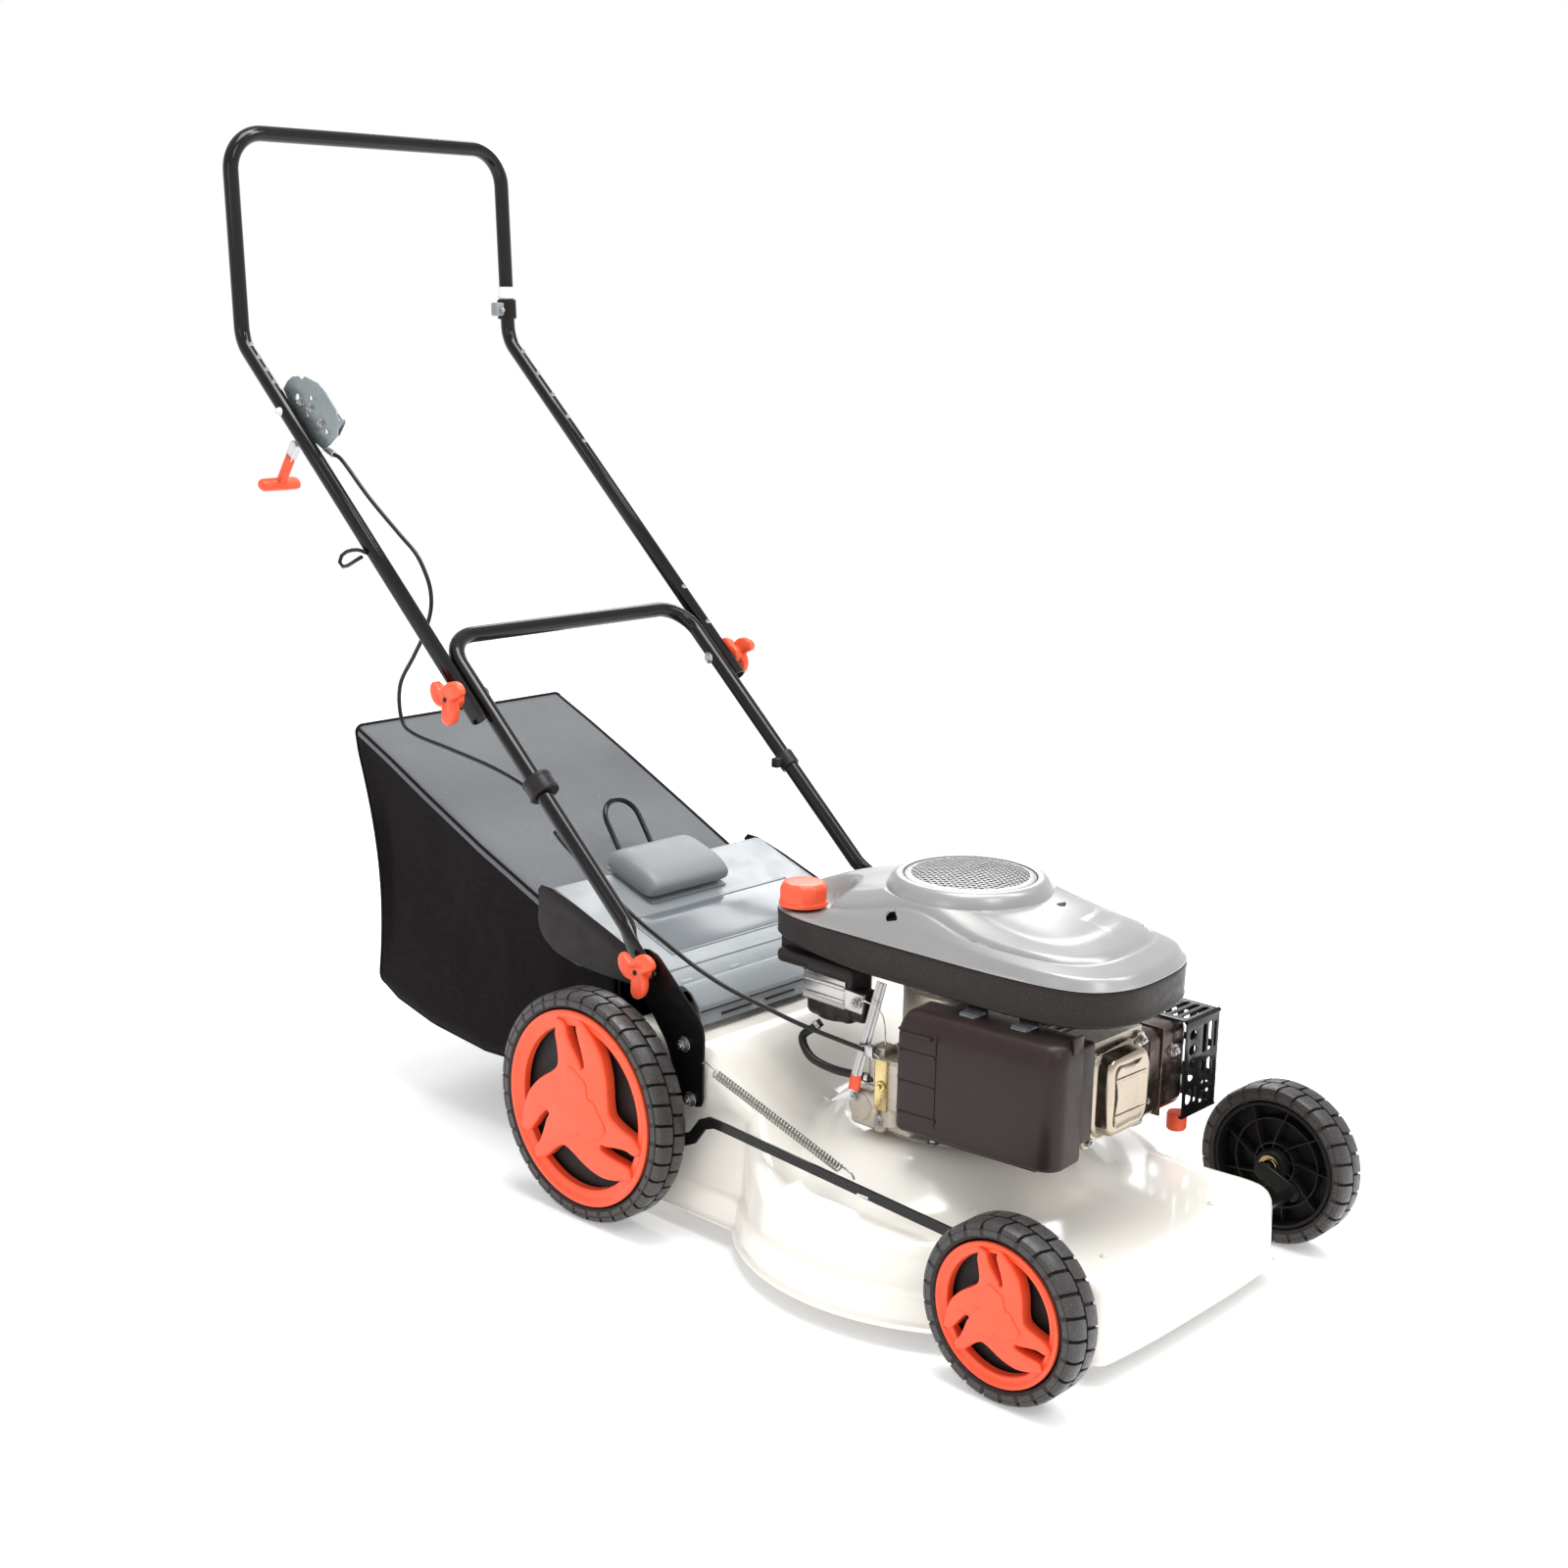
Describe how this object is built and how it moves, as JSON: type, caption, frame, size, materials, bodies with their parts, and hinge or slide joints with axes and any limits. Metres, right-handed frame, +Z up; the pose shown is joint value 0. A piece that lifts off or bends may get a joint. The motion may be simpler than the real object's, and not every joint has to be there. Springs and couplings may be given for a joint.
{
  "type": "push lawn mower",
  "caption": "Walk-behind petrol rotary mower with a pressed-steel deck, a vertical-shaft engine, a folding two-part handle and a rear grass bag.",
  "frame": {"origin": "on the ground, under the middle of the whole mower's bounding box", "axes": "+Z up, -Y towards the front of the mower, -X towards the operator's right-hand side (the side with the throttle)"},
  "size_m": [0.539, 1.3558, 1.1894],
  "materials": {
    "deck_paint": "glossy cream-white enamel",
    "black_enamel": "glossy black enamel",
    "black_plastic": "fine-grained moulded",
    "grey_plastic": "satin moulded",
    "silver_plastic": "metallic silver-grey",
    "orange_plastic": "satin moulded",
    "tyre_rubber": "worn matt",
    "hose_rubber": "matt",
    "zinc": "zinc plated",
    "steel": "bare",
    "cast_alloy": "as cast",
    "plated_cover": "bright, slightly warm",
    "muffler_steel": "heat-browned",
    "bag_cloth": "woven polyester"
  },
  "bodies": {
    "chassis": {"deck": "deck_paint", "hinge_cowl": "grey_plastic", "flap_hinge_rod": "steel", "handle_bracket_right": "black_enamel", "handle_bracket_left": "black_enamel", "engine_block": "cast_alloy", "engine_shroud": "black_plastic", "shroud_top": "silver_plastic", "starter_screen": "grey_plastic", "fuel_tank": "black_plastic", "fuel_hose": "hose_rubber", "carburettor": "cast_alloy", "air_filter_cover": "black_plastic", "valve_cover": "plated_cover", "muffler": "muffler_steel", "muffler_guard": "black_enamel", "spark_plug": "black_plastic", "throttle_cable_lower": "black_plastic"},
    "crank": {"crankshaft": "steel", "flywheel": "cast_alloy", "blade": "steel", "blade_bolt": "steel", "blade_adapter": "steel"},
    "starter": {"starter_pulley": "black_plastic"},
    "fuel_cap": {"fuel_cap": "orange_plastic"},
    "dipstick": {"oil_dipstick": "black_plastic"},
    "flap": {"rear_flap": "grey_plastic", "flap_grip": "grey_plastic"},
    "bag": {"grass_bag": "bag_cloth", "bag_frame": "black_enamel"},
    "bag_handle": {"bag_handle": "black_enamel"},
    "rear_axle": {"rear_axle": "steel", "height_lever": "steel"},
    "front_axle": {"front_axle": "steel"},
    "height_link": {"height_link": "black_enamel", "height_spring": "steel"},
    "lower_handle": {"lower_handle": "black_enamel", "cable_clamp": "black_plastic"},
    "upper_handle": {"upper_handle": "black_enamel", "throttle_bracket": "zinc", "rope_guide": "black_enamel", "throttle_cable_upper": "black_plastic"},
    "throttle": {"throttle_lever": "zinc", "throttle_knob": "orange_plastic"},
    "lower_knob_right": {"lower_knob_right": "orange_plastic"},
    "lower_knob_left": {"lower_knob_left": "orange_plastic"},
    "upper_knob_right": {"upper_knob_right": "orange_plastic"},
    "upper_knob_left": {"upper_knob_left": "orange_plastic"},
    "rear_right_wheel": {"rear_right_tyre": "tyre_rubber", "rear_right_wheel": "black_plastic", "rear_right_cover": "orange_plastic"},
    "rear_left_wheel": {"rear_left_tyre": "tyre_rubber", "rear_left_wheel": "black_plastic", "rear_left_cover": "orange_plastic"},
    "front_right_wheel": {"front_right_tyre": "tyre_rubber", "front_right_wheel": "black_plastic", "front_right_cover": "orange_plastic"},
    "front_left_wheel": {"front_left_tyre": "tyre_rubber", "front_left_wheel": "black_plastic", "front_left_cover": "orange_plastic"}
  },
  "joints": [
    {"name": "rear_axle_turn", "type": "hinge", "parent": "chassis", "child": "rear_axle", "pos_m": [0, 0.021, 0.115], "axis": [1, 0, 0], "range_deg": [0, 50]},
    {"name": "front_axle_turn", "type": "hinge", "parent": "chassis", "child": "front_axle", "pos_m": [0, -0.625, 0.074], "axis": [1, 0, 0], "range_deg": [-50, 0]},
    {"name": "height_link_slide", "type": "slide", "parent": "chassis", "child": "height_link", "axis": [0, 1, 0], "range_m": [0, 0.0365], "deforming": ["height_spring"]},
    {"name": "rear_right_wheel_spin", "type": "hinge", "parent": "rear_axle", "child": "rear_right_wheel", "pos_m": [-0.245, -0.015, 0.13], "axis": [1, 0, 0], "continuous": true},
    {"name": "rear_left_wheel_spin", "type": "hinge", "parent": "rear_axle", "child": "rear_left_wheel", "pos_m": [0.245, -0.015, 0.13], "axis": [1, 0, 0], "continuous": true},
    {"name": "front_right_wheel_spin", "type": "hinge", "parent": "front_axle", "child": "front_right_wheel", "pos_m": [-0.245, -0.589, 0.089], "axis": [1, 0, 0], "continuous": true},
    {"name": "front_left_wheel_spin", "type": "hinge", "parent": "front_axle", "child": "front_left_wheel", "pos_m": [0.245, -0.589, 0.089], "axis": [1, 0, 0], "continuous": true},
    {"name": "crank_spin", "type": "hinge", "parent": "chassis", "child": "crank", "pos_m": [-0.025, -0.357, 0.2], "axis": [0, 0, 1], "continuous": true},
    {"name": "starter_turn", "type": "hinge", "parent": "chassis", "child": "starter", "pos_m": [-0.025, -0.357, 0.38], "axis": [0, 0, 1], "range_deg": [0, 720], "stiffness_Nm_per_rad": 0.02, "springref_deg": -171.89},
    {"name": "fuel_cap_turn", "type": "hinge", "parent": "chassis", "child": "fuel_cap", "pos_m": [-0.1005, -0.1925, 0.38], "axis": [0, 0, 1], "range_deg": [0, 90]},
    {"name": "dipstick_turn", "type": "hinge", "parent": "chassis", "child": "dipstick", "pos_m": [0.062, -0.311, 0.262], "axis": [0.1906, 0.0545, 0.9802], "range_deg": [0, 90]},
    {"name": "flap_lift", "type": "hinge", "parent": "chassis", "child": "flap", "pos_m": [0, -0.065, 0.257], "axis": [1, 0, 0], "range_deg": [0, 68], "stiffness_Nm_per_rad": 0.4, "springref_deg": -20.05},
    {"name": "bag_pull", "type": "slide", "parent": "chassis", "child": "bag", "axis": [0, 1, 0], "range_m": [0, 0.45]},
    {"name": "bag_handle_fold", "type": "hinge", "parent": "bag", "child": "bag_handle", "pos_m": [0, 0.162, 0.324], "axis": [1, 0, 0], "range_deg": [-24, 60]},
    {"name": "lower_handle_fold", "type": "hinge", "parent": "chassis", "child": "lower_handle", "pos_m": [0, -0.058, 0.2855], "axis": [1, 0, 0], "range_deg": [0, 95], "deforming": ["throttle_cable_lower"]},
    {"name": "upper_handle_fold", "type": "hinge", "parent": "lower_handle", "child": "upper_handle", "pos_m": [0, 0.2334, 0.5459], "axis": [-1, 0, 0], "range_deg": [0, 95], "deforming": ["throttle_cable_upper"]},
    {"name": "lower_knob_right_turn", "type": "hinge", "parent": "lower_handle", "child": "lower_knob_right", "pos_m": [-0.21, -0.058, 0.2855], "axis": [1, 0, 0], "range_deg": [0, 720]},
    {"name": "lower_knob_left_turn", "type": "hinge", "parent": "lower_handle", "child": "lower_knob_left", "pos_m": [0.21, -0.058, 0.2855], "axis": [1, 0, 0], "range_deg": [0, 720]},
    {"name": "upper_knob_right_turn", "type": "hinge", "parent": "lower_handle", "child": "upper_knob_right", "pos_m": [-0.23, 0.2334, 0.5459], "axis": [1, 0, 0], "range_deg": [0, 720]},
    {"name": "upper_knob_left_turn", "type": "hinge", "parent": "lower_handle", "child": "upper_knob_left", "pos_m": [0.23, 0.2334, 0.5459], "axis": [1, 0, 0], "range_deg": [0, 720]},
    {"name": "throttle_turn", "type": "hinge", "parent": "upper_handle", "child": "throttle", "pos_m": [-0.2, 0.538, 0.848], "axis": [1, 0, 0], "range_deg": [0, 50]}
  ],
  "couplings": [
    {"joint": "front_axle_turn", "follows": "rear_axle_turn", "ratio": -1},
    {"joint": "height_link_slide", "follows": "rear_axle_turn", "m_per_rad": 0.04148}
  ]
}
